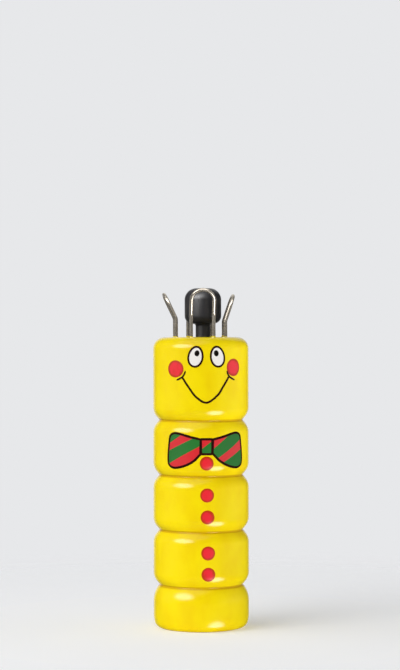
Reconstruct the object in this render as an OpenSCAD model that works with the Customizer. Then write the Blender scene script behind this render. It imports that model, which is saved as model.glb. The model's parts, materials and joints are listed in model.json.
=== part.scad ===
// Knitting nancy: a turned and lacquered wooden doll with a bore through it,
// four bent wire loops driven into its top, and a lifting needle kept in the bore.
// Millimetres. The doll stands on z = 0 with its axis on +Z and its face towards -Y.

/* [Turned body] */
// Diameter of the body over its rings
body_d = 26; // [22:0.5:34]
// Height of the head ring
head_h = 22.5; // [18:0.5:30]
// Height of each ring below the head
ring_h = 14.9; // [11:0.1:20]
// Number of rings between the head and the base ring
ring_count = 3; // [1:1:5]
// Height of the base ring
base_h = 11.8; // [9:0.1:18]
// Diameter of the bore that the knitted cord runs down
bore_d = 9; // [8:0.1:10]
// Rounding of the bore's mouths, top and bottom
mouth_r = 0.8; // [0.3:0.1:1.2]

/* [Turned edges] */
// Depth of the grooves between the rings
groove_depth = 1.5; // [0.8:0.05:2.4]
// Width of the flat at the bottom of a groove
groove_root_w = 0.4; // [0.2:0.05:1]
// Angle of a groove's flanks from the axis
flank_angle = 39; // [30:1:60]
// Radius that blends a groove's flank into the ring's wall
ring_round_r = 4; // [1:0.1:4.5]
// Radius that blends the lowest groove's flank into the base ring's wall
base_round_r = 6; // [1:0.1:6.5]
// Radius of the head's top shoulder
shoulder_r = 3.2; // [1:0.1:4]
// Radius of the edge round the foot
foot_r = 2.8; // [1:0.1:4.2]

/* [Wire loops] */
// Diameter of the wire
wire_d = 1; // [0.7:0.05:1.4]
// Distance between the two legs of a loop, centre to centre
loop_w = 6.1; // [5:0.1:7]
// Distance from the bore's wall to the middle of a loop's wire
loop_setback = 2; // [1.6:0.1:3]
// Height of the bend in the legs above the top of the doll
leg_rise = 6; // [4:0.1:9]
// Straight length of the leaning head, from the bend to the arch
head_l = 4.2; // [2.5:0.1:7]
// Radius of the bend, on the wire's centre line
bend_r = 2; // [1:0.1:3]
// Depth that the legs are driven into the wood
leg_depth = 9; // [5:0.5:14]
// Angle that the front loop's head leans outward from upright
front_lean_angle = 23; // [10:0.5:35]
// Angle that the right loop's head leans outward from upright
right_lean_angle = 18.5; // [10:0.5:35]
// Angle that the back loop's head leans outward from upright
back_lean_angle = 22; // [10:0.5:35]
// Angle that the left loop's head leans outward from upright
left_lean_angle = 25.5; // [10:0.5:35]
// How much deeper the right loop is driven than the front one
right_drop = 1.7; // [0:0.1:2.5]
// How much deeper the back loop is driven than the front one
back_drop = 0.8; // [0:0.1:2.5]
// How much deeper the left loop is driven than the front one
left_drop = 1; // [0:0.1:2.5]
// How much further out from the bore the left loop stands than the others
left_shift = 0.4; // [0:0.1:0.6]

/* [Lifting needle] */
// Diameter of the handle's knob
knob_d = 10; // [8:0.1:11]
// Height of the knob
knob_h = 9.7; // [7:0.1:14]
// Radius of the knob's top edge
knob_top_r = 3.2; // [1:0.1:3.5]
// Radius of the knob's lower edge
knob_low_r = 2.2; // [0.6:0.1:2.4]
// Height of the knob's underside above the top of the doll
knob_lift = 3.6; // [2:0.1:8]
// Diameter of the neck below the knob
neck_d = 4; // [3:0.1:5]
// Length of the neck below the knob
neck_l = 12; // [9:0.5:18]
// Radius of the fillet between the neck and the knob
neck_fillet_r = 0.6; // [0.3:0.1:1]
// Diameter of the steel needle
shaft_d = 1.6; // [1.2:0.1:2.2]
// Length of the steel needle that is set in the neck
grip_l = 10; // [6:0.5:14]
// Length of the tapered point
point_l = 14; // [6:0.5:25]
// Diameter of the blunt end of the point
point_d = 0.8; // [0.4:0.1:1]
// Bearing that the loose needle lies to, anticlockwise from the doll's right
needle_bearing = 60; // [0:5:355]

/* [Fits] */
// Clearance all round a leg in its hole in the wood
leg_clearance = 0.03; // [0.01:0.01:0.1]
// Depth of a leg's hole beyond the end of the leg
leg_hole_spare = 0.5; // [0.2:0.1:1]
// Clearance all round the steel needle in the neck
grip_clearance = 0.02; // [0.01:0.01:0.05]
// Gap between the loose needle and what it lies against or stands on
needle_gap = 0.3; // [0.2:0.05:0.5]

/* [Hidden] */
$fn = 96;

lacquer = [0.97, 0.85, 0.02];
nickel = [0.72, 0.70, 0.67];
black_plastic = [0.13, 0.13, 0.13];
steel = [0.78, 0.78, 0.80];

side_names = ["front", "right", "back", "left"];
quarter = 90;

body_r = body_d / 2;
bore_r = bore_d / 2;
wire_r = wire_d / 2;
knob_r = knob_d / 2;
neck_r = neck_d / 2;
shaft_r = shaft_d / 2;
point_r = point_d / 2;
arch_r = loop_w / 2;

body_h = base_h + ring_count * ring_h + head_h;
groove_heights = [for (i = [0:ring_count]) base_h + i * ring_h];

// Half the width of a groove where its flanks would meet the wall
groove_half = groove_root_w / 2 + groove_depth / tan(flank_angle);
// The largest share of a straight edge that the arc at one end of it may take
arc_share = 0.95;
// The largest blend that fits on a flank, the blends that keep to it, and a knob's edge beside the neck
flank_fit_r = arc_share * groove_depth / sin(flank_angle) / tan(flank_angle / 2);
ring_blend_r = min(ring_round_r, flank_fit_r);
base_blend_r = min(base_round_r, flank_fit_r);
knob_edge_r = min(knob_low_r, arc_share * (knob_r - neck_r - neck_fillet_r));

// How far an arc swings past the edges that it rounds, so that it crosses rather than touches them
arc_excess = 0.004;
// How far a cut reaches out into the air
air = 1;
// How much fuller a bend is than the wire, and how far the straight wire goes into it
bend_swell = 0.01;
bend_overlap = 0.05;
// Half the width of the flat left on the blunt end of the needle
point_flat = 0.1;

// How far each loop leans, is driven in and stands from the axis: front, right, back, left
loop_lean = [front_lean_angle, right_lean_angle, back_lean_angle, left_lean_angle];
loop_drop = [0, right_drop, back_drop, left_drop];
loop_reach = [for (shift = [0, 0, 0, left_shift]) bore_r + loop_setback + shift];
leg_places = [for (i = [0:3], side = [-1, 1])
                 [side * arch_r * cos(i * quarter) + loop_reach[i] * sin(i * quarter),
                  side * arch_r * sin(i * quarter) - loop_reach[i] * cos(i * quarter)]];

// The loose needle lies to one side, where its knob meets a loop's leg or its neck the bore
needle_way = [cos(needle_bearing), sin(needle_bearing)];
knob_reach = knob_r + wire_r + needle_gap;
needle_offset = min(bore_r - neck_r - needle_gap,
                    min([for (leg = leg_places) travel_to(leg, needle_way, knob_reach)]));
needle_place = needle_offset * needle_way;
handle_z = body_h + knob_lift - neck_l;
shaft_l = handle_z + grip_l - needle_gap;

// How far a disc's centre goes from the axis along a direction before it comes within reach of a leg
function travel_to(leg, way, reach) =
    let (along = leg * way, inside = along * along - leg * leg + reach * reach)
    along > 0 && inside > 0 ? along - sqrt(inside) : body_r;

// What is cut from a corner so that an arc of radius r rounds it
module corner_rest(before, corner, after, r) {
    way_in = (before - corner) / norm(before - corner);
    way_out = (after - corner) / norm(after - corner);
    middle = (way_in + way_out) / norm(way_in + way_out);
    half_sin = norm(way_in - way_out) / 2;
    tangent = r * sqrt(1 - half_sin * half_sin) / half_sin;
    centre = corner + middle * r / half_sin;
    spread = 1 + air / r;
    difference() {
        polygon([centre,
                 centre + (corner + way_in * tangent - centre) * spread,
                 corner - middle * 2 * air,
                 centre + (corner + way_out * tangent - centre) * spread]);
        translate(centre) circle(r + arc_excess);
    }
}

// Half section of the body: the sharp outline less what the round edges take off
module body_section() {
    root_r = body_r - groove_depth;
    root_half = groove_root_w / 2;
    difference() {
        polygon(concat(
            [[bore_r, 0], [body_r, 0]],
            [for (z = groove_heights) each [
                [body_r, z - groove_half], [root_r, z - root_half],
                [root_r, z + root_half], [body_r, z + groove_half]]],
            [[body_r, body_h], [bore_r, body_h]]));
        corner_rest([bore_r, 0], [body_r, 0], [body_r, base_h - groove_half], foot_r);
        for (z = groove_heights) {
            below_r = z == base_h ? base_blend_r : ring_blend_r;
            corner_rest([body_r, 0], [body_r, z - groove_half], [root_r, z - root_half], below_r);
            corner_rest([root_r, z + root_half], [body_r, z + groove_half], [body_r, body_h], ring_blend_r);
        }
        corner_rest([body_r, 0], [body_r, body_h], [bore_r, body_h], shoulder_r);
        corner_rest([body_r, body_h], [bore_r, body_h], [bore_r, 0], mouth_r);
        corner_rest([bore_r, body_h], [bore_r, 0], [body_r, 0], mouth_r);
    }
}

// Holes in the top of the doll for the legs of one loop
module leg_holes(i) {
    depth = leg_depth + loop_drop[i] + leg_hole_spare;
    rotate(i * quarter)
        for (side = [-1, 1])
            translate([side * arch_r, -loop_reach[i], body_h - depth])
                cylinder(r = wire_r + leg_clearance, h = depth + air);
}

module turned_body() {
    color(lacquer)
    difference() {
        rotate_extrude() body_section();
        for (i = [0:3]) leg_holes(i);
    }
}

// A straight run of wire up from z = 0, let a little into the bends at either end
module straight_wire(length, into_start, into_end) {
    translate([0, 0, -into_start])
        cylinder(r = wire_r, h = length + into_start + into_end);
}

// A bend of wire about +Z, a little fuller than the straight runs that it joins
module wire_bend(radius, turn) {
    rotate_extrude(angle = turn) translate([radius, 0]) circle(wire_r + bend_swell);
}

// One leg from its end in the wood to the bend, the bend, and the straight part of the head
module loop_leg(lean) {
    bend_tangent = bend_r * tan(lean / 2);
    translate([0, 0, -leg_depth])
        straight_wire(leg_depth + leg_rise - bend_tangent, 0, bend_overlap);
    translate([0, -bend_r, leg_rise - bend_tangent])
        rotate([90, 0, 90]) wire_bend(bend_r, lean);
    translate([0, 0, leg_rise])
        rotate([lean, 0, 0])
            translate([0, 0, bend_tangent])
                straight_wire(head_l - bend_tangent, bend_overlap, bend_overlap);
}

// One bent wire loop: two legs joined by an arch, with its head leaning outward
module wire_loop(i) {
    lean = loop_lean[i];
    color(nickel)
    rotate(i * quarter)
        translate([0, -loop_reach[i], body_h - loop_drop[i]]) {
            for (side = [-1, 1])
                translate([side * arch_r, 0, 0]) loop_leg(lean);
            translate([0, 0, leg_rise])
                rotate([lean, 0, 0])
                    translate([0, 0, head_l])
                        rotate([90, 0, 0]) wire_bend(arch_r, 2 * quarter);
        }
}

// Half section of the handle, up from the lower end of its neck, with the fillet cut hollow
module handle_section() {
    knob_top = neck_l + knob_h;
    socket_r = shaft_r + grip_clearance;
    fillet_at = [neck_r + neck_fillet_r, neck_l - neck_fillet_r];
    difference() {
        polygon([[socket_r, 0], [neck_r, 0], [neck_r, fillet_at.y], fillet_at, [fillet_at.x, neck_l],
                 [knob_r, neck_l], [knob_r, knob_top], [0, knob_top], [0, grip_l], [socket_r, grip_l]]);
        translate(fillet_at) circle(neck_fillet_r + arc_excess);
        corner_rest([neck_r, neck_l], [knob_r, neck_l], [knob_r, knob_top], knob_edge_r);
        corner_rest([knob_r, neck_l], [knob_r, knob_top], [0, knob_top], knob_top_r);
    }
}

module needle_handle() {
    color(black_plastic)
    translate([needle_place.x, needle_place.y, handle_z])
        rotate_extrude() handle_section();
}

// Half section of the steel needle, up from the blunt end of its point
module shaft_section() {
    difference() {
        polygon([[0, 0], [point_r, 0], [shaft_r, point_l], [shaft_r, shaft_l], [0, shaft_l]]);
        corner_rest([0, 0], [point_r, 0], [shaft_r, point_l], point_r - point_flat);
    }
}

module needle_shaft() {
    color(steel)
    translate([needle_place.x, needle_place.y, needle_gap])
        rotate_extrude() shaft_section();
}

turned_body();
for (i = [0:3])
    wire_loop(i);
needle_handle();
needle_shaft();
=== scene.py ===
import bisect
import json
import math
import random
import bpy
from mathutils import Matrix, Vector, noise
from mathutils.geometry import delaunay_2d_cdt

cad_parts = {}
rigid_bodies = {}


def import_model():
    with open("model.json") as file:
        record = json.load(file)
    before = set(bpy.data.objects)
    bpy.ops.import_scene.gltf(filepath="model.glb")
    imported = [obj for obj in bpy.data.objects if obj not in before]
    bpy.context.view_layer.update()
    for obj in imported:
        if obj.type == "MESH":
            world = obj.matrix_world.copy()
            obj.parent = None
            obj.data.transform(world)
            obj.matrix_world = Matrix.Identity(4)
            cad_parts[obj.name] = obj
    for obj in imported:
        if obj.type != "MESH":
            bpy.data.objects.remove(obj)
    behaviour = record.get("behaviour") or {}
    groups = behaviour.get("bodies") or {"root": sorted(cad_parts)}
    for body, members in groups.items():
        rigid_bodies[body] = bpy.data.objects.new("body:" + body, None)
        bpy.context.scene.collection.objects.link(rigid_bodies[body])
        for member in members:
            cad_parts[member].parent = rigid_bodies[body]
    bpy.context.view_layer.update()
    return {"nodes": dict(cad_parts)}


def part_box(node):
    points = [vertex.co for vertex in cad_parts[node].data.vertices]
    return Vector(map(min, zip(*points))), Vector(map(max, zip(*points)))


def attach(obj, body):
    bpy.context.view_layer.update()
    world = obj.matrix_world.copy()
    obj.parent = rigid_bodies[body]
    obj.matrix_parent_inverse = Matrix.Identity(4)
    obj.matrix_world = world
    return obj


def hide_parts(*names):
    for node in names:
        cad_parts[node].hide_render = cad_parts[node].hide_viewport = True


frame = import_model()
mm = 0.001
print("frame loaded:", ", ".join(sorted(frame["nodes"])))


# Node and mesh helpers. An owner is what holds the nodes: a material, the world or a lamp.

noiseSpan = (0.3, 0.7)      # most of a noise lies in here


def newMaterial(name, **sockets):
    material = bpy.data.materials.new(name)
    material.use_nodes = True
    shader = material.node_tree.nodes["Principled BSDF"]
    for socket, value in sockets.items():
        shader.inputs[socket.replace("_", " ")].default_value = value
    return material, shader


def addNode(owner, kind, **values):
    node = owner.node_tree.nodes.new(kind)
    for key, value in values.items():
        if hasattr(node, key):
            setattr(node, key, value)
        else:
            node.inputs[key.replace("_", " ")].default_value = value
    return node


def link(owner, source, target):
    owner.node_tree.links.new(source, target)


# noise that is stretched by a scale for each axis, in object coordinates
def stretchedNoise(material, scale, detail=3.0, roughness=0.5):
    coords = addNode(material, "ShaderNodeTexCoord")
    mapping = addNode(material, "ShaderNodeMapping", Scale=scale)
    texture = addNode(material, "ShaderNodeTexNoise", Scale=1.0, Detail=detail, Roughness=roughness)
    link(material, coords.outputs["Object"], mapping.inputs["Vector"])
    link(material, mapping.outputs["Vector"], texture.inputs["Vector"])
    return texture.outputs["Fac"]


# a colour ramp between stops of (place, colour)
def colourRamp(material, source, stops):
    ramp = addNode(material, "ShaderNodeValToRGB")
    elements = ramp.color_ramp.elements
    while len(elements) < len(stops):
        elements.new(0.5)
    for element, (place, colour) in zip(elements, stops):
        element.position = place
        element.color = colour
    link(material, source, ramp.inputs["Fac"])
    return ramp.outputs["Color"]


# a range of a source turned into another range
def mapRange(owner, source, fromRange, toRange, smooth=False):
    node = addNode(owner, "ShaderNodeMapRange", interpolation_type="SMOOTHSTEP" if smooth else "LINEAR")
    sockets = ("From Min", "From Max", "To Min", "To Max")
    for socket, value in zip(sockets, (*fromRange, *toRange)):
        node.inputs[socket].default_value = value
    link(owner, source, node.inputs["Value"])
    return node.outputs["Result"]


def setColour(material, shader, source, stops):
    link(material, colourRamp(material, source, stops), shader.inputs["Base Color"])


def setRoughness(material, shader, source, span):
    link(material, mapRange(material, source, noiseSpan, span), shader.inputs["Roughness"])


# bumps laid one over another, each a (height, strength, distance)
def setBumps(material, shader, layers):
    normal = None
    for height, strength, distance in layers:
        bump = addNode(material, "ShaderNodeBump", Strength=strength, Distance=distance)
        link(material, height, bump.inputs["Height"])
        if normal:
            link(material, normal, bump.inputs["Normal"])
        normal = bump.outputs["Normal"]
    link(material, normal, shader.inputs["Normal"])


def srgb(red, green, blue):
    def linear(c):
        c /= 255
        return c / 12.92 if c <= 0.04045 else ((c + 0.055) / 1.055) ** 2.4
    return (linear(red), linear(green), linear(blue), 1)


def meshPiece(name, points, faces, materials, body, faceMaterial=None):
    mesh = bpy.data.meshes.new(name)
    mesh.from_pydata([tuple(p) for p in points], [], faces)
    for material in materials:
        mesh.materials.append(material)
    if faceMaterial:
        mesh.polygons.foreach_set("material_index", faceMaterial)
    mesh.shade_smooth()
    mesh.update()
    piece = bpy.data.objects.new(name, mesh)
    bpy.context.scene.collection.objects.link(piece)
    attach(piece, body)
    return piece


def arc(centre, radius, start, end, steps):
    angles = [math.radians(start + (end - start) * i / steps) for i in range(steps + 1)]
    return [(centre[0] + radius * math.cos(a), centre[1] + radius * math.sin(a)) for a in angles]


# turns an outline of (radius, height) round an upright axis, with points on the axis closed to a cap
def turned(outline, sides, axis=(0, 0), closed=False, wobble=None):
    points, rows = [], []
    for r, z in outline:
        if r == 0:
            rows.append([len(points)] * sides)
            points.append((axis[0], axis[1], z))
            continue
        rows.append(list(range(len(points), len(points) + sides)))
        for k in range(sides):
            a = 2 * math.pi * k / sides
            far = r + (wobble(a, z) if wobble else 0)
            points.append((axis[0] + far * math.sin(a), axis[1] - far * math.cos(a), z))
    nextRows = rows[1:] + rows[:1] if closed else rows[1:]
    faces = []
    for low, high in zip(rows, nextRows):
        for k in range(sides):
            n = (k + 1) % sides
            corners = [low[k], low[n], high[n], high[k]]
            faces.append(tuple(dict.fromkeys(corners)))
    return points, faces


# Turned body

bodyLow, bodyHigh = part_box("turned_body")
body = {
    "radius": (bodyHigh[0] - bodyLow[0]) / 2,
    "height": bodyHigh[2],
    "baseHeight": 11.8 * mm,
    "ringHeight": 14.9 * mm,
    "rings": 3,
    "boreRadius": 4.5 * mm,
    "mouthRound": 0.8 * mm,
    "mouthSteps": 8,
    "grooveDepth": 1.6 * mm,
    "grooveRoot": 0.15 * mm,
    "grooveFlank": 39,           # degrees from the axis
    "ringRound": 4 * mm,
    "baseRound": 6.5 * mm,       # the base ring's upper edge is fuller than the others
    "shoulderRound": 3.2 * mm,
    "footRound": 2.3 * mm,
    "footEase": 10 * mm,         # the wall draws in on this radius before the foot turns under
    "footEaseTurn": 12,          # degrees
    "sides": 192,
    "unevenness": 0.018 * mm,    # how far the sanded and dipped wall wanders
    "unevenLength": 7 * mm,
    "colours": [(0.32, srgb(243, 210, 4)), (0.55, srgb(248, 221, 5)), (0.75, srgb(251, 226, 10))],
    "roughness": (0.12, 0.17),
    "pool": (0.8, 0.93),         # the lacquer runs together between these shares of a groove's depth, where it is also darkened as painted shade
    # the colour of deep lacquer, made darker as painted shade in the bottom of the grooves
    "poolShadeColour": srgb(217, 174, 2),
    "woodColours": [(0.3, srgb(176, 132, 84)), (0.5, srgb(208, 168, 118)), (0.72, srgb(226, 192, 146))],
}


# the points between two others on a straight stretch
def between(a, b, parts):
    return [(a[0] + (b[0] - a[0]) * i / parts, a[1] + (b[1] - a[1]) * i / parts) for i in range(1, parts)]


# the outside from the foot to the top, always rising
def outsideOutline():
    r, h = body["radius"], body["height"]
    turn = body["grooveFlank"]
    flank = math.radians(turn)
    halfGroove = body["grooveRoot"] / 2 + body["grooveDepth"] / math.tan(flank)
    fill = body["grooveRoot"] / 2 / math.tan(flank / 2)   # the lacquer rounds the groove's bottom
    fillMiddle = r - body["grooveDepth"] + fill
    foot, ease, shoulder = body["footRound"], body["footEase"], body["shoulderRound"]
    easeTurn = body["footEaseTurn"]
    draw = math.radians(easeTurn)
    footMiddle = (r - ease + (ease - foot) * math.cos(draw), foot)
    easeMiddle = (r - ease, foot + (ease - foot) * math.sin(draw))
    outline = arc(footMiddle, foot, -90, -easeTurn, steps=10)
    outline += arc(easeMiddle, ease, -easeTurn, 0, steps=6)[1:]
    for i in range(body["rings"] + 1):
        z = body["baseHeight"] + i * body["ringHeight"]
        blend = body["ringRound"] if i else body["baseRound"]
        below = arc((r - blend, z - halfGroove - blend * math.tan(flank / 2)), blend, 0, turn, steps=10)
        bottom = arc((fillMiddle, z), fill, 180 + turn, 180 - turn, steps=6)
        blend = body["ringRound"]
        above = arc((r - blend, z + halfGroove + blend * math.tan(flank / 2)), blend, -turn, 0, steps=10)
        outline += below + between(below[-1], bottom[0], parts=8)
        outline += bottom + between(bottom[-1], above[0], parts=8) + above
    outline += arc((r - shoulder, h - shoulder), shoulder, 0, 90, steps=14)
    return outline


outside = outsideOutline()
outsideHeights = [z for r, z in outside]


def wallAt(z):
    i = max(1, min(len(outside) - 1, bisect.bisect_left(outsideHeights, z)))
    (r0, z0), (r1, z1) = outside[i - 1], outside[i]
    t = (z - z0) / (z1 - z0) if z1 > z0 else 0
    return r0 + (r1 - r0) * max(0, min(1, t))


def unevenAt(angle, z):
    s = body["unevenLength"]
    r = body["radius"]
    spot = Vector((r * math.sin(angle) / s, r * math.cos(angle) / s, z / s))
    return body["unevenness"] * noise.noise(spot)


# how thick the lacquer has run together, which also darkens it as painted shade: most at the bottom of a
# groove
def poolShadeAt(r, z):
    if r < body["boreRadius"] + body["mouthRound"]:
        return 0.0
    if z < body["footRound"] or z > body["height"] - body["shoulderRound"]:
        return 0.0
    start, full = body["pool"]
    sunk = (body["radius"] - r) / body["grooveDepth"]
    return max(0.0, min(1.0, (sunk - start) / (full - start)))


def lacquerMaterial():
    material, shader = newMaterial("yellowLacquer", Specular_IOR_Level=0.5,
                                   Coat_Weight=0.4, Coat_Roughness=0.1)
    cloud = stretchedNoise(material, (160, 160, 90), detail=4)
    pool = addNode(material, "ShaderNodeAttribute", attribute_name="pool")
    # towards the bottom of a groove the lacquer takes the pool colour: deeper lacquer with painted shade
    poolShadeMix = addNode(material, "ShaderNodeMix", data_type="RGBA")
    poolShadeMix.inputs["B"].default_value = body["poolShadeColour"]
    link(material, pool.outputs["Fac"], poolShadeMix.inputs["Factor"])
    link(material, colourRamp(material, cloud, body["colours"]), poolShadeMix.inputs["A"])
    link(material, poolShadeMix.outputs["Result"], shader.inputs["Base Color"])
    polish = stretchedNoise(material, (420, 420, 420), detail=3)
    setRoughness(material, shader, polish, body["roughness"])
    grain = stretchedNoise(material, (2600, 2600, 130), detail=2)
    turning = stretchedNoise(material, (60, 60, 2400), detail=1)
    peel = stretchedNoise(material, (900, 900, 900), detail=2)
    layers = [(peel, 0.12, 0.05 * mm), (grain, 0.06, 0.03 * mm), (turning, 0.05, 0.03 * mm)]
    setBumps(material, shader, layers)
    return material


def bareWoodMaterial():
    material, shader = newMaterial("bareWood", Roughness=0.62)
    grain = stretchedNoise(material, (900, 900, 45), detail=5, roughness=0.6)
    setColour(material, shader, grain, body["woodColours"])
    drill = stretchedNoise(material, (120, 120, 2200), detail=2)
    setBumps(material, shader, [(grain, 0.3, 0.08 * mm), (drill, 0.35, 0.08 * mm)])
    return material


def makeBody(lacquer, wood):
    bore, mouth, h = body["boreRadius"], body["mouthRound"], body["height"]
    steps, sides = body["mouthSteps"], body["sides"]
    outline = outside + arc((bore + mouth, h - mouth), mouth, 90, 180, steps)
    outline += arc((bore + mouth, mouth), mouth, 180, 270, steps)
    points, faces = turned(outline, sides, closed=True, wobble=unevenAt)
    boreRow = len(outside) + steps      # the row of faces that lines the bore
    faceMaterial = [1 if i // sides == boreRow else 0 for i in range(len(faces))]
    piece = meshPiece("lacqueredBody", points, faces, [lacquer, wood], "doll", faceMaterial)
    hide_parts("turned_body")
    piece.visible_glossy = False        # keeps the yellow out of the shine on the wire and the knob
    # how much of the pool colour each point gets: lacquer run together and painted shade
    pool = piece.data.attributes.new("pool", "FLOAT", "POINT")
    pool.data.foreach_set("value", [poolShadeAt(r, z) for r, z in outline for k in range(sides)])


lacquer = lacquerMaterial()
makeBody(lacquer, bareWoodMaterial())
print("turned body made")


# Wire loops, each a bent hairpin whose legs go down into the wood

loops = {
    # the four loops, and for each its lean in degrees, how deep it is driven and its distance from the axis
    "sides": ("front", "right", "back", "left"),
    "lean": (23, 18.5, 22, 25.5),
    "drop": (0, 1.7 * mm, 0.8 * mm, 1.0 * mm),
    "reach": (6.5 * mm, 6.5 * mm, 6.5 * mm, 6.9 * mm),
    "wireRadius": 0.5 * mm,
    "width": 6.1 * mm,
    "rise": 6 * mm,
    "headLength": 4.2 * mm,
    "bendRadius": 2 * mm,
    "bendSteps": 7,
    "archSteps": 14,
    "legDepth": 9 * mm,
    "entryDepth": 0.5 * mm,      # a ring of the tube just under the wood's top
    "roundness": 20,             # sides of the tube
    "colours": [(0.3, srgb(214, 203, 186)), (0.6, srgb(230, 220, 204)), (0.8, srgb(238, 229, 214))],
    "roughness": (0.18, 0.24),
}


# one leg and half of the arch in the loop's own frame: x across, y back, z up from the top of the doll
def halfLoopPath(lean):
    a = math.radians(lean)
    half, bend, rise = loops["width"] / 2, loops["bendRadius"], loops["rise"]
    tangent = bend * math.tan(a / 2)
    path = [Vector((half, 0, z)) for z in (-loops["legDepth"], -loops["entryDepth"], rise / 2)]
    for i in range(loops["bendSteps"] + 1):
        turn = a * i / loops["bendSteps"]
        path.append(Vector((half, -bend + bend * math.cos(turn), rise - tangent + bend * math.sin(turn))))
    up = Vector((0, -math.sin(a), math.cos(a)))
    root = Vector((0, 0, rise)) + up * loops["headLength"]
    for i in range(loops["archSteps"] + 1):
        turn = math.pi / 2 * i / loops["archSteps"]
        path.append(root + Vector((half * math.cos(turn), 0, 0)) + up * half * math.sin(turn))
    return path


def loopPath(i):
    right = halfLoopPath(loops["lean"][i])
    left = [Vector((-p.x, p.y, p.z)) for p in reversed(right[:-1])]
    turn = Matrix.Rotation(math.radians(90 * i), 4, "Z")
    foot = Vector((0, -loops["reach"][i], body["height"] - loops["drop"][i]))
    return [turn @ (p + foot) for p in right + left]


# a round tube along a path, closed at both ends
def sweptTube(path, radius, sides):
    points, faces = [], []
    ahead = (path[1] - path[0]).normalized()
    across = ahead.orthogonal().normalized()
    for i, spot in enumerate(path):
        before, after = path[max(0, i - 1)], path[min(len(path) - 1, i + 1)]
        heading = (after - before).normalized()
        across = (across - heading * across.dot(heading)).normalized()
        side = heading.cross(across)
        for k in range(sides):
            a = 2 * math.pi * k / sides
            points.append(spot + (across * math.cos(a) + side * math.sin(a)) * radius)
        if i:
            low, high = (i - 1) * sides, i * sides
            for k in range(sides):
                n = (k + 1) % sides
                faces.append((low + k, low + n, high + n, high + k))
    faces.append(tuple(reversed(range(sides))))
    faces.append(tuple(range(len(points) - sides, len(points))))
    return points, faces


def wireMaterial():
    material, shader = newMaterial("brightWire", Metallic=0.84)
    tarnish = stretchedNoise(material, (420, 420, 150), detail=2)
    setColour(material, shader, tarnish, loops["colours"])
    setRoughness(material, shader, tarnish, loops["roughness"])
    drawn = stretchedNoise(material, (2600, 2600, 120), detail=1)
    setBumps(material, shader, [(drawn, 0.02, 0.01 * mm)])
    return material


brightWire = wireMaterial()
for i, side in enumerate(loops["sides"]):
    points, faces = sweptTube(loopPath(i), loops["wireRadius"], loops["roundness"])
    piece = meshPiece("bentWire." + side, points, faces, [brightWire], "doll")
    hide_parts("wire_loop_" + side)
print("wire loops made:", len(loops["sides"]))


# Lacquer that has crept up the legs where they leave the wood

collar = {
    "rise": (0.15 * mm, 0.4 * mm),
    "spread": (0.3 * mm, 0.5 * mm),
    "skirt": 0.02 * mm,          # how much wider its foot is in the wood
    "sunk": 0.1 * mm,            # how deep it goes into the wood and the wire
    "steps": 8,
    "sides": 28,
    "seed": 4,
}


def makeCollar(name, centre, rise, spread):
    foot = loops["wireRadius"] + spread
    inner = loops["wireRadius"] - collar["sunk"]
    top, under = body["height"] + rise, body["height"] - collar["sunk"]
    outline = [(foot + collar["skirt"], under)]
    for i in range(collar["steps"] + 1):
        t = i / collar["steps"]
        outline.append((foot - spread * math.sin(t * math.pi / 2), top - rise * math.cos(t * math.pi / 2)))
    outline += [(inner, top), (inner, under)]
    points, faces = turned(outline, collar["sides"], axis=centre, closed=True)
    meshPiece(name, points, faces, [lacquer], "doll")


chance = random.Random(collar["seed"])
for i, side in enumerate(loops["sides"]):
    turn = Matrix.Rotation(math.radians(90 * i), 2)
    for leg, x in (("a", -loops["width"] / 2), ("b", loops["width"] / 2)):
        centre = turn @ Vector((x, -loops["reach"][i]))
        rise = chance.uniform(*collar["rise"])
        spread = chance.uniform(*collar["spread"])
        makeCollar("lacquerCollar." + side + "." + leg, centre, rise, spread)
print("lacquer collars made")


# Lifting needle

handleLow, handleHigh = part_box("needle_handle")
shaftLow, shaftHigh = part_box("needle_shaft")
needle = {
    "axis": ((handleLow[0] + handleHigh[0]) / 2, (handleLow[1] + handleHigh[1]) / 2),
    "knobRadius": (handleHigh[0] - handleLow[0]) / 2,
    "knobHeight": 9.7 * mm,
    "topRound": 3.2 * mm,
    "lowRound": 2.2 * mm,
    "neckRadius": 2 * mm,
    "neckFillet": 0.6 * mm,
    "neckEndRound": 0.3 * mm,
    "gateRadius": 0.9 * mm,      # the shallow mark that the mould leaves on top
    "gateDepth": 0.15 * mm,
    "handleSides": 96,
    "plasticColours": [(0.3, srgb(32, 31, 33)), (0.7, srgb(46, 45, 48))],
    "plasticRoughness": (0.34, 0.42),
    "shaftRadius": (shaftHigh[0] - shaftLow[0]) / 2,
    "pointRadius": 0.4 * mm,
    "pointFlat": 10,             # degrees of the point's round end that are left flat
    "pointLength": 14 * mm,
    "shaftSides": 32,
    "steelColours": [(0.3, srgb(186, 186, 190)), (0.7, srgb(214, 214, 218))],
    "steelRoughness": (0.14, 0.26),
}


def plasticMaterial():
    material, shader = newMaterial("blackPlastic", Specular_IOR_Level=1.0, IOR=1.65)
    shade = stretchedNoise(material, (500, 500, 70), detail=4)
    setColour(material, shader, shade, needle["plasticColours"])
    setRoughness(material, shader, shade, needle["plasticRoughness"])
    streak = stretchedNoise(material, (1500, 1500, 90), detail=3)
    speck = stretchedNoise(material, (3200, 3200, 3200), detail=1)
    setBumps(material, shader, [(streak, 0.16, 0.06 * mm), (speck, 0.10, 0.02 * mm)])
    return material


def steelMaterial():
    material, shader = newMaterial("needleSteel", Metallic=1.0)
    ground = stretchedNoise(material, (6000, 6000, 60), detail=3)
    setColour(material, shader, ground, needle["steelColours"])
    setRoughness(material, shader, ground, needle["steelRoughness"])
    setBumps(material, shader, [(ground, 0.12, 0.02 * mm)])
    return material


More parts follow.
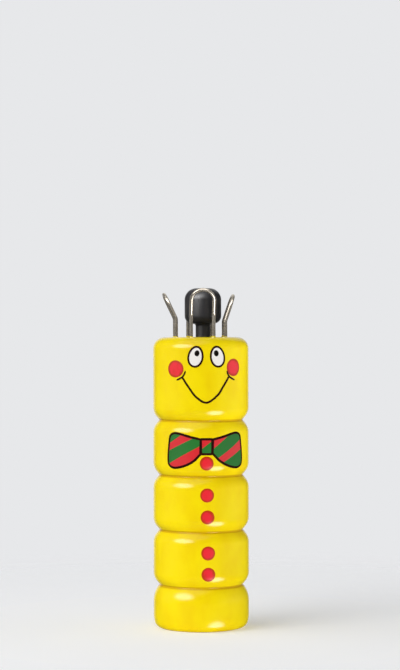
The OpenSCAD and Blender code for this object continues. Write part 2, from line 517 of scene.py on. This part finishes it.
def makeHandle():
    r, neck, top = needle["knobRadius"], needle["neckRadius"], handleHigh[2]
    under = top - needle["knobHeight"]
    low, high = needle["lowRound"], needle["topRound"]
    fillet, end = needle["neckFillet"], needle["neckEndRound"]
    gate, dip = needle["gateRadius"], needle["gateDepth"]
    outline = [(0, handleLow[2])]
    outline += arc((neck - end, handleLow[2] + end), end, -90, 0, steps=5)
    outline += arc((neck + fillet, under - fillet), fillet, 180, 90, steps=8)
    outline += arc((r - low, under + low), low, -90, 0, steps=12)
    outline += arc((r - high, top - high), high, 0, 90, steps=18)
    outline += [(gate, top), (gate - dip, top - dip), (0, top - dip)]
    points, faces = turned(outline, needle["handleSides"], axis=needle["axis"])
    piece = meshPiece("knobHandle", points, faces, [plasticMaterial()], "needle")
    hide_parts("needle_handle")


def makeShaft():
    r, tip = needle["shaftRadius"], needle["pointRadius"]
    outline = [(0, shaftLow[2])]
    outline += arc((0, shaftLow[2] + tip), tip, -90 + needle["pointFlat"], 0, steps=6)
    outline += [(r, shaftLow[2] + needle["pointLength"]), (r, shaftHigh[2]), (0, shaftHigh[2])]
    points, faces = turned(outline, needle["shaftSides"], axis=needle["axis"])
    piece = meshPiece("steelPoint", points, faces, [steelMaterial()], "needle")
    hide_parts("needle_shaft")


makeHandle()
makeShaft()
print("lifting needle made")


# Painted face, bow tie and buttons: thin films of enamel that lie on the wall.
# Places on them are in millimetres: across from the face's middle, round the wall, and up from the foot.

paint = {
    "faceTurn": math.radians(3),    # the face looks a little to the right of the front loop
    "film": 0.035 * mm,
    "ink": 0.1 * mm,
    "sunk": 0.05 * mm,              # how deep a film's underside lies in the wall
    "edge": 0.16 * mm,              # how far in from its rim a film is at full thickness
    "spotEdge": 0.72 * mm,          # the same for the round spots, which were set down as drops
    "slopeReach": 0.02 * mm,        # the wall's slope is taken over this much each way
    "step": 0.16,                   # between the points along a line
    "longSide": 1.5,                # an outline's sides over this many steps are divided
    "shortSide": 1e-4,              # and those under this length dropped
    "rimHeight": 0.12,              # a film's thickness at its rim, as a share
    "rimRows": (0.4, 1.0),          # rows of points inside the rim, as shares of its edge
    "rowClear": 0.9,                # how far they keep from the rest of the rim, as a share
    "grid": 0.34,                   # between the points inside a film
    "gridRow": 0.866,               # between their rows, as a share of that
    "gridClear": 1.5,               # how far they keep from the rim, in edges
    "sharpAngle": math.radians(40),
    "strokeSides": 8,               # across a brushed line
    "strokeFlat": 6,                # how flat it is on top
    "strokeEnd": 0.12,              # its width at its ends, as a share
    "strokeKeeps": 0.2,             # there its height falls less than its width, by this share
    "rimStops": (0.1, 0.75),        # the rim's colour gives way to the film's between these
    "spotStops": (0.55, 1.0),
    "brushShift": (-0.2, 0.25),     # how far brush marks move those places
    "brushRough": (-0.05, 0.06),    # and what they add to the roughness
    "lineInk": [(0.3, srgb(30, 6, 5)), (0.75, srgb(54, 14, 10))],
    "pupilInk": [(0.3, srgb(12, 8, 6)), (0.75, srgb(24, 17, 12))],
    # a film's colour, its rim's and its roughness
    "white": (srgb(238, 233, 228), srgb(238, 230, 186), 0.4),
    "red": (srgb(216, 40, 46), srgb(214, 70, 22), 0.38),
    "redSpot": (srgb(235, 34, 49), srgb(194, 52, 4), 0.38),
    "green": (srgb(38, 120, 46), srgb(66, 126, 30), 0.38),
}


def onWall(across, up, lift):
    z = up * mm
    angle = paint["faceTurn"] + across * mm / body["radius"]
    near = paint["slopeReach"]
    slope = (wallAt(z + near) - wallAt(z - near)) / (2 * near)
    lean = math.hypot(1, slope)
    r = wallAt(z) + unevenAt(angle, z) + lift / lean
    return (r * math.sin(angle), -r * math.cos(angle), z - lift * slope / lean)


def alongSpline(knots):
    points = []
    count = len(knots)
    for i in range(count - 1):
        p1, p2 = Vector(knots[i]), Vector(knots[i + 1])
        p0 = Vector(knots[i - 1]) if i else p1 * 2 - p2
        p3 = Vector(knots[i + 2]) if i + 2 < count else p2 * 2 - p1
        parts = max(2, round((p2 - p1).length / paint["step"]))
        for k in range(parts):
            t = k / parts
            points.append(0.5 * (2 * p1 + (p2 - p0) * t + (2 * p0 - 5 * p1 + 4 * p2 - p3) * t * t
                                 + (3 * p1 - p0 - 3 * p2 + p3) * t ** 3))
    points.append(Vector(knots[-1]))
    return points


def oval(across, up, halfWidth, halfHeight, tilt=0, egg=0, steps=64):
    points = []
    a = math.radians(tilt)
    for i in range(steps):
        t = 2 * math.pi * i / steps
        x, y = halfWidth * math.cos(t) * (1 - egg * math.sin(t)), halfHeight * math.sin(t)
        turnedX, turnedY = x * math.cos(a) - y * math.sin(a), x * math.sin(a) + y * math.cos(a)
        points.append(Vector((across + turnedX, up + turnedY)))
    return points


# the sides of an outline, each as its two ends
def sidesOf(outline):
    return zip(outline, outline[1:] + outline[:1])


def edgeDistance(p, outline):
    nearest = math.inf
    tiny = 1e-12                # so that a side of no length divides nothing by zero
    for a, b in sidesOf(outline):
        side = b - a
        t = max(0, min(1, (p - a).dot(side) / max(side.length_squared, tiny)))
        nearest = min(nearest, (p - a - side * t).length)
    return nearest


def isInside(p, outline):
    inside = False
    for a, b in sidesOf(outline):
        if (a.y > p.y) != (b.y > p.y) and p.x < (b.x - a.x) * (p.y - a.y) / (b.y - a.y) + a.x:
            inside = not inside
    return inside


# the points of a film: its outline, the rows inside its rim, and a grid over the rest
def filmSpots(outline, edge):
    count = len(outline)
    spots = list(outline)
    for share in paint["rimRows"]:
        depth = edge * share
        for i, p in enumerate(outline):
            along = outline[(i + 1) % count] - outline[i - 1]
            for normal in (Vector((-along.y, along.x)), Vector((along.y, -along.x))):
                q = p + normal.normalized() * depth
                if isInside(q, outline) and edgeDistance(q, outline) > depth * paint["rowClear"]:
                    spots.append(q)
    grid = paint["grid"]
    lowX, highX = min(p.x for p in outline), max(p.x for p in outline)
    lowY, highY = min(p.y for p in outline), max(p.y for p in outline)
    row = 0
    y = lowY
    while y < highY:
        x = lowX + (grid / 2 if row % 2 else 0)
        while x < highX:
            q = Vector((x, y))
            if isInside(q, outline) and edgeDistance(q, outline) > edge * paint["gridClear"]:
                spots.append(q)
            x += grid
        y += grid * paint["gridRow"]
        row += 1
    return spots


# a filled shape, thin at its rim
def filledFilm(name, outline, material, thickness, base=0.0, edge=paint["edge"]):
    edge /= mm
    count = len(outline)
    rim = [(i, (i + 1) % count) for i in range(count)]
    onlyInside, tolerance = 1, 1e-6
    found = delaunay_2d_cdt(filmSpots(outline, edge), rim, [], onlyInside, tolerance)
    flat, triangles = found[0], found[2]
    total = len(flat)
    cover = [min(1, edgeDistance(p, outline) / edge) for p in flat]
    least = paint["rimHeight"]
    points = []
    for p, c in zip(flat, cover):
        share = least + (1 - least) * math.sin(c * math.pi / 2)
        points.append(onWall(p.x, p.y, base + thickness * share))
    points += [onWall(p.x, p.y, -paint["sunk"]) for p in flat]
    upward = []
    for t in triangles:
        a, b, c = (flat[i] for i in t)
        turn = (b - a).cross(c - a)
        upward.append(tuple(t) if turn > 0 else tuple(reversed(t)))
    faces = upward + [tuple(i + total for i in reversed(t)) for t in upward]
    used = {}
    for t in upward:
        for a, b in zip(t, t[1:] + t[:1]):
            used[(a, b)] = True
    for a, b in used:
        if (b, a) not in used:
            faces.append((b, a, a + total, b + total))
    piece = meshPiece(name, points, faces, [material], "doll")
    piece.data.set_sharp_from_angle(angle=paint["sharpAngle"])
    covered = piece.data.attributes.new("cover", "FLOAT", "POINT")
    covered.data.foreach_set("value", cover + [0.0] * total)


# a brushed line: round across, and round or pointed at its ends
def inkLine(name, middle, width, closed=False, point=0.0):
    count = len(middle)
    lengths = [0.0]
    for a, b in zip(middle, middle[1:]):
        lengths.append(lengths[-1] + (b - a).length)
    sides = paint["strokeSides"]
    points, rows = [], []
    for i, p in enumerate(middle):
        before = middle[i - 1] if closed or i else p
        after = middle[(i + 1) % count] if closed or i + 1 < count else p
        along = (after - before).normalized()
        normal = Vector((-along.y, along.x))
        half = width / 2
        if not closed:
            fromEnd = min(lengths[i], lengths[-1] - lengths[i])
            reach = half * (1 + point)
            if fromEnd < reach:
                half *= max(paint["strokeEnd"], math.sqrt(1 - (1 - fromEnd / reach) ** 2))
        fullness = min(1, half / (width / 2) + paint["strokeKeeps"])
        row = []
        for k in range(sides + 1):
            t = -1 + 2 * k / sides
            q = p + normal * half * t
            row.append(len(points))
            points.append(onWall(q.x, q.y, paint["ink"] * (1 - t ** paint["strokeFlat"]) * fullness))
        for k in range(sides, -1, -1):
            q = p + normal * half * (-1 + 2 * k / sides)
            row.append(len(points))
            points.append(onWall(q.x, q.y, -paint["sunk"]))
        rows.append(row)
    ring = len(rows[0])
    faces = []
    for low, high in zip(rows, rows[1:] + rows[:1] if closed else rows[1:]):
        faces += [(low[k], high[k], high[(k + 1) % ring], low[(k + 1) % ring]) for k in range(ring)]
    if not closed:
        faces.append(tuple(rows[0]))
        faces.append(tuple(reversed(rows[-1])))
    meshPiece(name, points, faces, [lineInk], "doll")


# the same outline with its long sides divided and its shortest dropped
def evenly(outline):
    points = []
    longest = paint["step"] * paint["longSide"]
    for a, b in sidesOf(outline):
        length = (b - a).length
        if length > paint["shortSide"]:
            parts = math.ceil(length / longest)
            points += [a + (b - a) * (k / parts) for k in range(parts)]
    return points


# the part of an outline that lies below a slanting line, or above it
def cutAlong(outline, line, keepBelow):
    across, up, slope = line

    def depth(p):
        s = up + slope * (p.x - across) - p.y
        return s if keepBelow else -s

    kept = []
    for a, b in sidesOf(outline):
        if depth(a) >= 0:
            kept.append(a)
        if (depth(a) >= 0) != (depth(b) >= 0):
            kept.append(a + (b - a) * (depth(a) / (depth(a) - depth(b))))
    return evenly(kept)


def enamelMaterial(name, colour, rimColour, roughness, stops=paint["rimStops"]):
    material, shader = newMaterial(name, Specular_IOR_Level=0.35, Coat_Weight=0.2, Coat_Roughness=0.16)
    cover = addNode(material, "ShaderNodeAttribute", attribute_name="cover")
    brush = stretchedNoise(material, (900, 900, 420), detail=3)
    spread = addNode(material, "ShaderNodeMath", operation="ADD")
    link(material, cover.outputs["Fac"], spread.inputs[0])
    link(material, mapRange(material, brush, noiseSpan, paint["brushShift"]), spread.inputs[1])
    setColour(material, shader, spread.outputs["Value"], [(stops[0], rimColour), (stops[1], colour)])
    setRoughness(material, shader, brush, [roughness + added for added in paint["brushRough"]])
    setBumps(material, shader, [(brush, 0.12, 0.04 * mm)])
    return material


def inkMaterial(name, stops):
    material, shader = newMaterial(name, Roughness=0.55, Specular_IOR_Level=0.06)
    brush = stretchedNoise(material, (1600, 1600, 1600), detail=3)
    setColour(material, shader, brush, stops)
    setBumps(material, shader, [(brush, 0.12, 0.03 * mm)])
    return material


lineInk = inkMaterial("lineInk", paint["lineInk"])
pupilInk = inkMaterial("pupilInk", paint["pupilInk"])
white = enamelMaterial("whiteEnamel", *paint["white"])
red = enamelMaterial("redEnamel", *paint["red"])
redSpot = enamelMaterial("redSpotEnamel", *paint["redSpot"], paint["spotStops"])
green = enamelMaterial("greenEnamel", *paint["green"])

eyes = {
    "across": 3.0,
    "up": 73.75,
    "half": (1.89, 2.67),        # half the width and half the height
    "tilt": 10,
    "egg": 0.07,
    "line": 0.56,
    "pupilAcross": 2.6,
    "pupilUp": 74.66,
    "pupilHalf": (0.67, 0.82),
    "pupilSteps": 40,
}
# across, up, half the width and half the height
cheeks = {"left": (-8.75, 70.5, 2.45, 2.3), "right": (8.0, 70.85, 2.3, 2.36)}
smile = {
    "curve": [(-6.7, 68.25), (-4.85, 65.55), (-2.8, 62.95), (-0.05, 61.5),
              (2.95, 63.45), (4.6, 65.75), (6.4, 68.4)],
    "line": 0.56,
    "dimple": [(5.75, 70.0), (6.2, 68.9), (6.85, 68.2), (8.45, 67.45)],
    "dimpleLine": 0.5,
    "dimplePoint": 2.0,
}
film = paint["film"]
for side, sign in (("left", -1), ("right", 1)):
    tilt = eyes["tilt"] * sign
    outline = oval(sign * eyes["across"], eyes["up"], *eyes["half"], tilt, eyes["egg"])
    filledFilm("eyeWhite." + side, outline, white, film)
    inkLine("eyeLine." + side, outline, eyes["line"], closed=True)
    pupilAcross = sign * eyes["pupilAcross"]
    pupil = oval(pupilAcross, eyes["pupilUp"], *eyes["pupilHalf"], tilt, steps=eyes["pupilSteps"])
    filledFilm("pupil." + side, pupil, pupilInk, film, base=film)
    filledFilm("cheek." + side, oval(*cheeks[side]), redSpot, film, edge=paint["spotEdge"])
    dimple = alongSpline([(sign * x, y) for x, y in smile["dimple"]])
    inkLine("dimple." + side, dimple, smile["dimpleLine"], point=smile["dimplePoint"])
inkLine("smile", alongSpline(smile["curve"]), smile["line"])
print("face painted")

bow = {
    # the right wing, from the knot's upper corner round to its lower one
    "wing": [(1.65, 51.65), (4.7, 52.4), (7.3, 53.1), (9.1, 53.3), (10.25, 52.75),
             (10.62, 51.9), (11.0, 49.2), (11.2, 46.4), (10.85, 44.85), (9.5, 44.1),
             (7.3, 44.3), (5.1, 45.05), (3.5, 46.0), (2.4, 47.1), (1.55, 47.95)],
    "knot": [(-1.7, 51.75), (-1.75, 47.8), (1.4, 47.8), (1.45, 51.75)],
    "line": 0.68,
    "greenFilm": 0.6,            # as a share of the red film under it
    # where a green band meets a red one: a place across and up, and the slope there
    "leftLines": [(-10.43, 50.77, 0.61), (-10.57, 48.78, 0.47), (-10.31, 45.46, 0.53)],
    "rightLines": [(1.82, 49.2, 0.8), (3.12, 46.69, 0.65), (4.6, 45.5, 0.55)],
    "knotLine": (-1.33, 49.23, 0.75),
}


def wingOutline(sign):
    return evenly(alongSpline([(sign * x, y) for x, y in bow["wing"]]))


def paintBow():
    bands = {}
    left, right = wingOutline(-1), wingOutline(1)
    knot = evenly([Vector(p) for p in bow["knot"]])
    top, middle, low = bow["leftLines"]
    bands["left.top"] = cutAlong(left, top, False)
    bands["left.low"] = cutAlong(cutAlong(left, middle, True), low, False)
    top, middle, low = bow["rightLines"]
    bands["right.top"] = cutAlong(cutAlong(right, top, True), middle, False)
    bands["right.low"] = cutAlong(right, low, True)
    bands["knot"] = cutAlong(knot, bow["knotLine"], True)
    for name, outline in (("left", left), ("right", right), ("knot", knot)):
        filledFilm("bowRed." + name, outline, red, film)
        inkLine("bowLine." + name, outline, bow["line"], closed=True)
    for name, outline in bands.items():
        filledFilm("bowGreen." + name, outline, green, film * bow["greenFilm"], base=film)


paintBow()
print("bow tie painted")

buttons = {
    "places": [(-0.07, 45.28), (0.04, 36.78), (0.13, 30.92), (0.27, 21.33), (0.33, 15.65)],
    "radius": 1.88,
    "film": 1.6,                 # as a share of the other films
}
for i, (across, up) in enumerate(buttons["places"]):
    outline = oval(across, up, buttons["radius"], buttons["radius"])
    thickness = film * buttons["film"]
    filledFilm("button." + str(i + 1), outline, redSpot, thickness, edge=paint["spotEdge"])
print("buttons painted")


# Studio: pale floor that runs into the background, soft lamps, and the camera

studio = {
    "paleColour": srgb(231, 232, 234),
    "floorSize": 3.0,
    "floorColour": srgb(230, 231, 233),
    "floorLift": 0.25,              # what brings the floor up to the background where the camera sees it
    "floorFade": (0.045, 0.22),     # between these distances the floor runs into the background
    "roomLight": (0.09, 3.9),       # plain light on doll and floor: from ahead, and along the line below
    "lightLine": (0.96, 0, -0.28),  # from low on the picture's right to high on its left
    "lightShift": 0.06,             # how much stronger the end on the right is
    "lightDraw": 4,                 # how closely the light keeps to that line
    "dimRoom": 0.04,                # what shines back from the room in front of the doll
    "backdrop": (0.84, 1.0),        # how far round, along +Y, the pale backdrop comes into reflections
    "lampFade": (0.2, 0.5),         # a lamp fades from its middle between these shares of its size
}
lamps = {
    # bearing from the front round to the right and height in degrees, distance, size and power
    "upperLeft": {"bearing": -51, "rise": 28, "distance": 0.9, "size": (1.04, 0.68), "power": 10.4},
    "lowerRight": {"bearing": 36, "rise": -35, "distance": 0.9, "size": (0.77, 0.71), "power": 9.7},
    "overhead": {"bearing": -38, "rise": 64, "distance": 1.0, "size": (1.5, 1.5), "power": 3.5},
    "behind": {"bearing": 170, "rise": 45, "distance": 1.0, "size": (1.4, 1.4), "power": 3},
    "onKnob": {"bearing": -20, "rise": 38, "distance": 0.9, "size": (1.0, 0.9), "power": 5.5},
    "onWire": {"bearing": 10, "rise": 42, "distance": 0.9, "size": (1.3, 1.0), "power": 11},
}
# the only pieces a lamp lights, those it is kept off and those it shines through, by how their names start
lightsOnly = {"onKnob": "knobHandle", "onWire": "bentWire."}
keptOff = {"lowerRight": "knobHandle"}
shinesThrough = {"lowerRight": "floor"}
view = {
    "distance": 580 * mm,
    "azimuth": -4,
    "height": 79.54 * mm,
    "aside": -0.2 * mm,
    "roll": 0.13,
    "lens": 114.4,
    "sensor": 36,
    "nearest": 0.01,
}


# a pale background to the camera and, from behind the doll, in its reflections, and a plain light on the rest
def makeWorld():
    world = bpy.data.worlds.new("studioLight")
    bpy.context.scene.world = world
    world.use_nodes = True
    world.cycles.sampling_method = "NONE"    # so that shine and plain light are told apart
    background = world.node_tree.nodes["Background"]
    background.inputs["Color"].default_value = studio["paleColour"]
    coords = addNode(world, "ShaderNodeTexCoord")
    split = addNode(world, "ShaderNodeSeparateXYZ")
    link(world, coords.outputs["Generated"], split.inputs["Vector"])
    reflected = mapRange(world, split.outputs["Y"], studio["backdrop"], (studio["dimRoom"], 1.0))
    along = addNode(world, "ShaderNodeVectorMath", operation="DOT_PRODUCT")
    along.inputs[1].default_value = studio["lightLine"]
    link(world, coords.outputs["Generated"], along.inputs[0])
    shifted = addNode(world, "ShaderNodeMath", operation="ADD")
    shifted.inputs[1].default_value = studio["lightShift"]
    link(world, along.outputs["Value"], shifted.inputs[0])
    twoWays = addNode(world, "ShaderNodeMath", operation="POWER")
    twoWays.inputs[1].default_value = studio["lightDraw"]
    link(world, shifted.outputs["Value"], twoWays.inputs[0])
    strongest = (1 + studio["lightShift"]) ** studio["lightDraw"]
    plain = mapRange(world, twoWays.outputs["Value"], (0, strongest), studio["roomLight"])
    path = addNode(world, "ShaderNodeLightPath")
    shiny = addNode(world, "ShaderNodeMath", operation="MAXIMUM")
    link(world, path.outputs["Is Glossy Ray"], shiny.inputs[0])
    link(world, path.outputs["Is Transmission Ray"], shiny.inputs[1])
    inShine = addNode(world, "ShaderNodeMix", data_type="FLOAT")
    link(world, shiny.outputs["Value"], inShine.inputs["Factor"])
    link(world, plain, inShine.inputs["A"])
    link(world, reflected, inShine.inputs["B"])
    toCamera = addNode(world, "ShaderNodeMix", data_type="FLOAT")
    toCamera.inputs["B"].default_value = 1.0
    link(world, path.outputs["Is Camera Ray"], toCamera.inputs["Factor"])
    link(world, inShine.outputs["Result"], toCamera.inputs["A"])
    link(world, toCamera.outputs["Result"], background.inputs["Strength"])


# a pale floor that holds the doll's shadow and thins out into the background
def makeFloor():
    half = studio["floorSize"] / 2
    mesh = bpy.data.meshes.new("floor")
    corners = [(-half, -half, 0), (half, -half, 0), (half, half, 0), (-half, half, 0)]
    mesh.from_pydata(corners, [], [(0, 1, 2, 3)])
    floor = bpy.data.objects.new("floor", mesh)
    bpy.context.scene.collection.objects.link(floor)
    material, shader = newMaterial("paleFloor", Roughness=0.7, Base_Color=studio["floorColour"])
    coords = addNode(material, "ShaderNodeTexCoord")
    away = addNode(material, "ShaderNodeVectorMath", operation="LENGTH")
    link(material, coords.outputs["Object"], away.inputs[0])
    cover = mapRange(material, away.outputs["Value"], studio["floorFade"], (1, 0), smooth=True)
    path = addNode(material, "ShaderNodeLightPath")
    seen = addNode(material, "ShaderNodeMath", operation="SUBTRACT", use_clamp=True)
    link(material, cover, seen.inputs[0])
    link(material, path.outputs["Is Glossy Ray"], seen.inputs[1])
    link(material, seen.outputs["Value"], shader.inputs["Alpha"])
    lift = addNode(material, "ShaderNodeMath", operation="MULTIPLY")
    lift.inputs[1].default_value = studio["floorLift"]
    link(material, path.outputs["Is Camera Ray"], lift.inputs[0])
    link(material, lift.outputs["Value"], shader.inputs["Emission Strength"])
    mesh.materials.append(material)


# gathers the pieces whose names start so, for a lamp to include or leave out
def pieceGroup(name, start, state):
    group = bpy.data.collections.new(name)
    for piece in bpy.context.scene.collection.objects:
        if piece.name.startswith(start):
            group.objects.link(piece)
    for member in group.collection_objects:
        member.light_linking.link_state = state
    return group


# a lamp behind a diffuser: brightest in its middle and gone at its edge
def makeLamp(name, facts):
    light = bpy.data.lights.new(name, "AREA")
    light.shape = "RECTANGLE"
    light.size, light.size_y = facts["size"]
    light.energy = facts["power"]
    light.use_nodes = True
    place = addNode(light, "ShaderNodeNewGeometry")
    away = addNode(light, "ShaderNodeVectorMath", operation="DISTANCE")
    middle = (0.5, 0.5, 0)
    away.inputs[1].default_value = middle
    link(light, place.outputs["Parametric"], away.inputs[0])
    shine = mapRange(light, away.outputs["Value"], studio["lampFade"], (1, 0), smooth=True)
    link(light, shine, light.node_tree.nodes["Emission"].inputs["Strength"])
    lamp = bpy.data.objects.new(name, light)
    a, e = math.radians(facts["bearing"]), math.radians(facts["rise"])
    towards = Vector((math.sin(a) * math.cos(e), -math.cos(a) * math.cos(e), math.sin(e)))
    lamp.location = Vector((0, 0, body["height"] / 2)) + towards * facts["distance"]
    lamp.rotation_euler = towards.to_track_quat("Z", "Y").to_euler()
    bpy.context.scene.collection.objects.link(lamp)
    if name in lightsOnly:
        lamp.light_linking.receiver_collection = pieceGroup(name + "Lit", lightsOnly[name], "INCLUDE")
    if name in keptOff:
        lamp.light_linking.receiver_collection = pieceGroup(name + "Unlit", keptOff[name], "EXCLUDE")
    if name in shinesThrough:
        lamp.light_linking.blocker_collection = pieceGroup(name + "Through", shinesThrough[name], "EXCLUDE")


def makeCamera():
    data = bpy.data.cameras.new("camera")
    data.lens = view["lens"]
    data.sensor_width = view["sensor"]
    data.clip_start = view["nearest"]
    camera = bpy.data.objects.new("camera", data)
    a = math.radians(view["azimuth"])
    right = Vector((math.cos(a), math.sin(a), 0))
    up = Vector((0, 0, 1))
    back = Vector((math.sin(a), -math.cos(a), 0))
    place = back * view["distance"] + right * view["aside"] + up * view["height"]
    turn = Matrix((right, up, back)).transposed().to_4x4()
    roll = Matrix.Rotation(math.radians(-view["roll"]), 4, "Z")
    camera.matrix_world = Matrix.Translation(place) @ turn @ roll
    bpy.context.scene.collection.objects.link(camera)
    bpy.context.scene.camera = camera


makeWorld()
makeFloor()
for name, facts in lamps.items():
    makeLamp(name, facts)
makeCamera()
bpy.context.scene.view_settings.view_transform = "Standard"
print("studio set")

bpy.context.view_layer.update()
